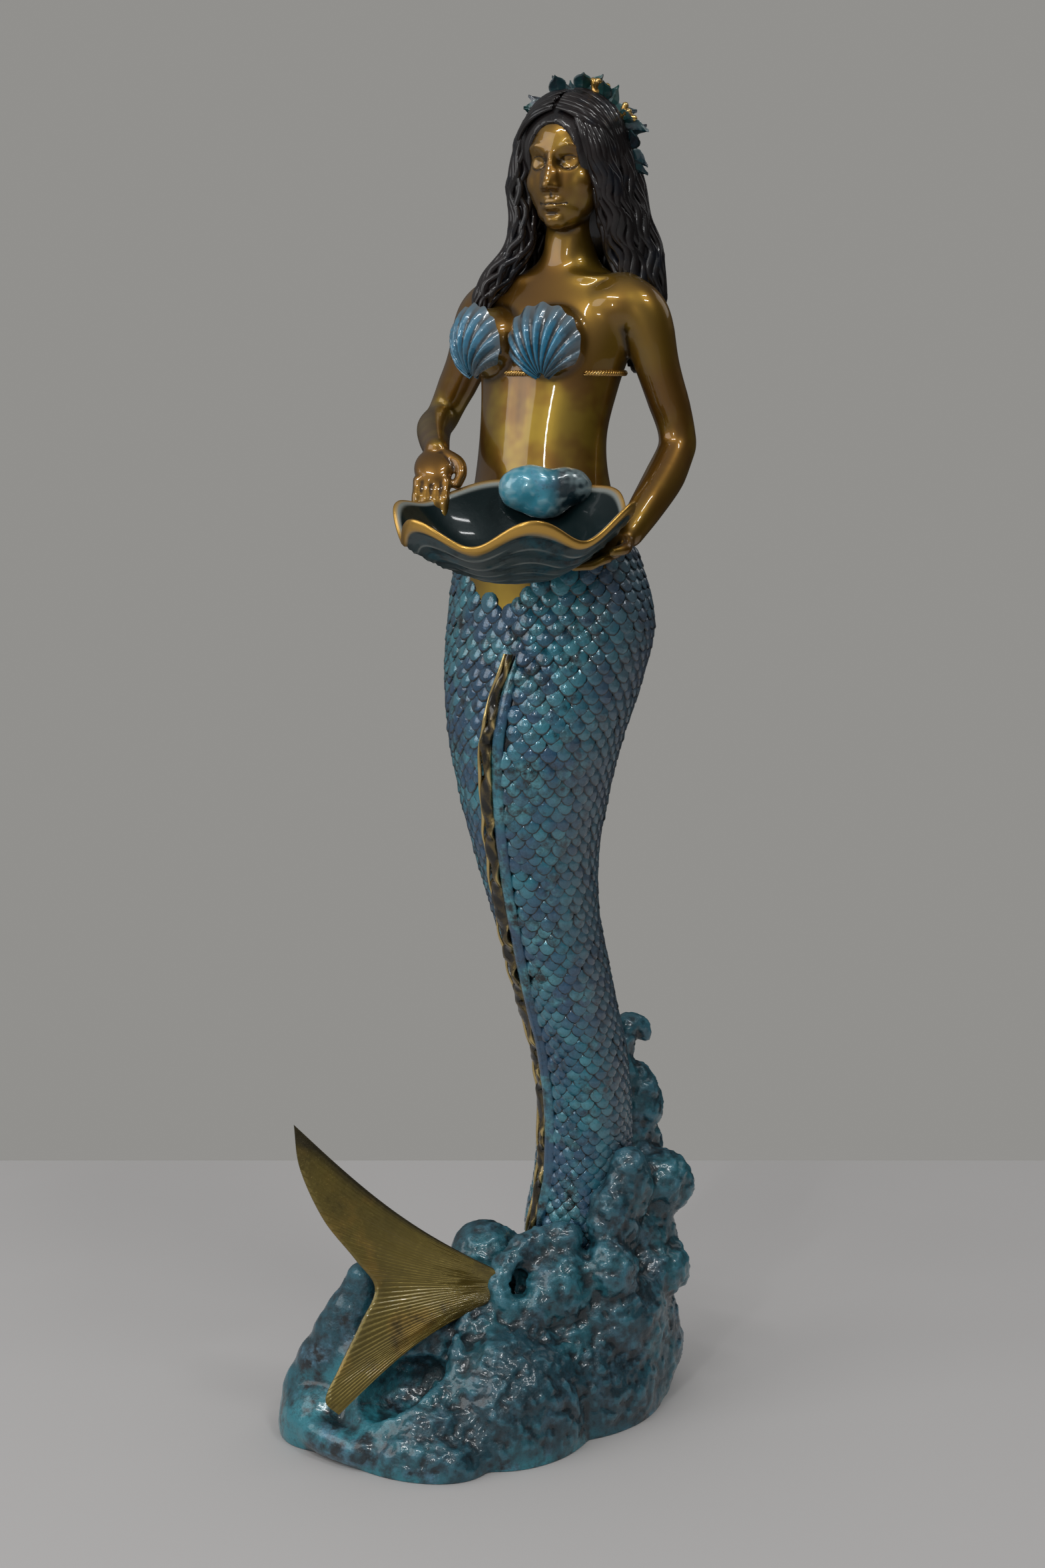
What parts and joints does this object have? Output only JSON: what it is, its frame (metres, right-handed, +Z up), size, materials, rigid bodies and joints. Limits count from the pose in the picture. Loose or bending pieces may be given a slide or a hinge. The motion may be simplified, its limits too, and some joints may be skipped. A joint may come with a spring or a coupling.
{
  "type": "bronze fountain",
  "caption": "Standing mermaid fountain on a wave and rock base, holding a fluted shell basin in both hands.",
  "frame": {"origin": "on the flat underside of the base, below the figure's body", "axes": "+Z up, the figure faces -Y with her left side at +X"},
  "size_m": [0.3024, 0.3361, 1.1375],
  "materials": {
    "bronze_gold": "polished golden-brown patina",
    "patina_blue": "glossy mottled blue patina",
    "patina_turquoise": "glossy mottled turquoise patina",
    "patina_teal": "glossy dark teal patina with a gilt rim",
    "patina_black": "glossy black patina",
    "leaf_green": "dark blue-green patina",
    "polished_gold": "polished bright bronze",
    "fluke_gold": "olive-gold patina, burnished at the edges",
    "copper": "plain copper tube and fitting"
  },
  "bodies": {
    "root": {"torso": "bronze_gold", "left_arm": "bronze_gold", "right_arm": "bronze_gold", "hair": "patina_black", "crown": "leaf_green", "coral_sprig_top": "polished_gold", "coral_sprig_side": "polished_gold", "bra_shell_right": "patina_blue", "bra_shell_left": "patina_blue", "bra_cord_front": "polished_gold", "bra_cord_back": "polished_gold", "basin": "patina_teal", "basin_knob": "patina_turquoise", "tail": "patina_blue", "tail_fin": "polished_gold", "fluke": "fluke_gold", "base": "patina_turquoise", "supply_pipe": "copper", "inlet_nut": "copper"}
  },
  "joints": []
}
